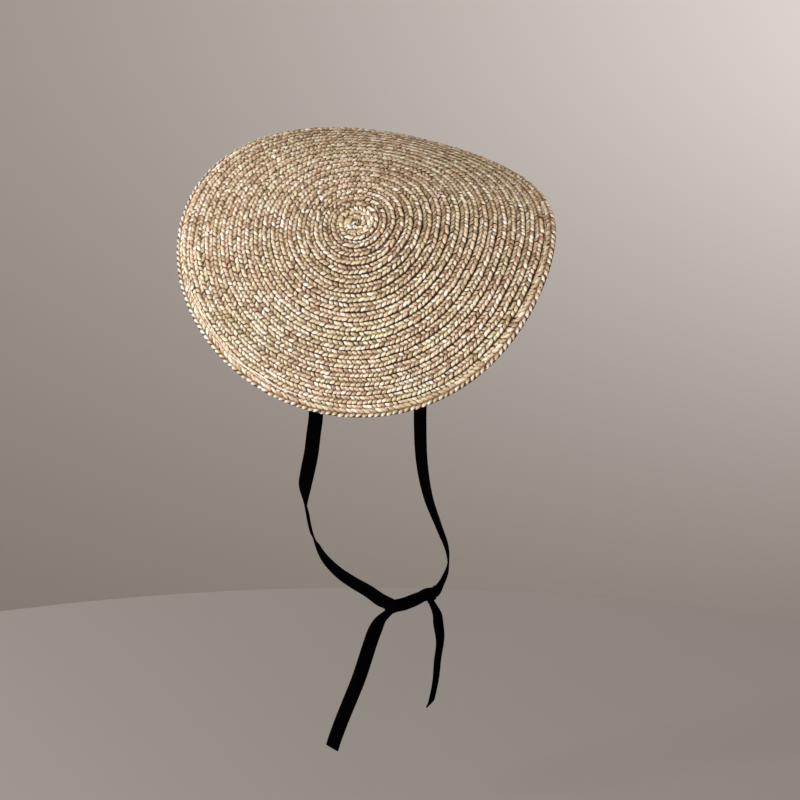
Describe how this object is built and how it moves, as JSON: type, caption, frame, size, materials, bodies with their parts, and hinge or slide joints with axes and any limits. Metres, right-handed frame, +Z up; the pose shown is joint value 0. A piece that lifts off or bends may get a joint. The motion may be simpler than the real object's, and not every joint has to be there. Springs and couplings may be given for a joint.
{
  "type": "straw saucer hat with ribbon ties",
  "caption": "Brimless dished saucer hat of spirally sewn straw braid, worn tilted, with a black velvet ribbon tied in a knot at the neck.",
  "frame": {"origin": "underside of the plate at its centre, where the crown of the head meets it", "axes": "+Z up as worn, the wearer faces -Y, the wearer's left is +X"},
  "size_m": [0.1661, 0.2522, 0.4235],
  "materials": {
    "straw": "natural plaited straw, satin",
    "straw_rim": "natural plaited straw, satin, doubled",
    "ribbon": "black velvet"
  },
  "bodies": {
    "root": {"straw_shell": "straw", "rim_braid": "straw_rim", "tie_left": "ribbon", "tie_right": "ribbon", "tie_knot": "ribbon", "tail_left": "ribbon", "tail_right": "ribbon"}
  },
  "joints": []
}
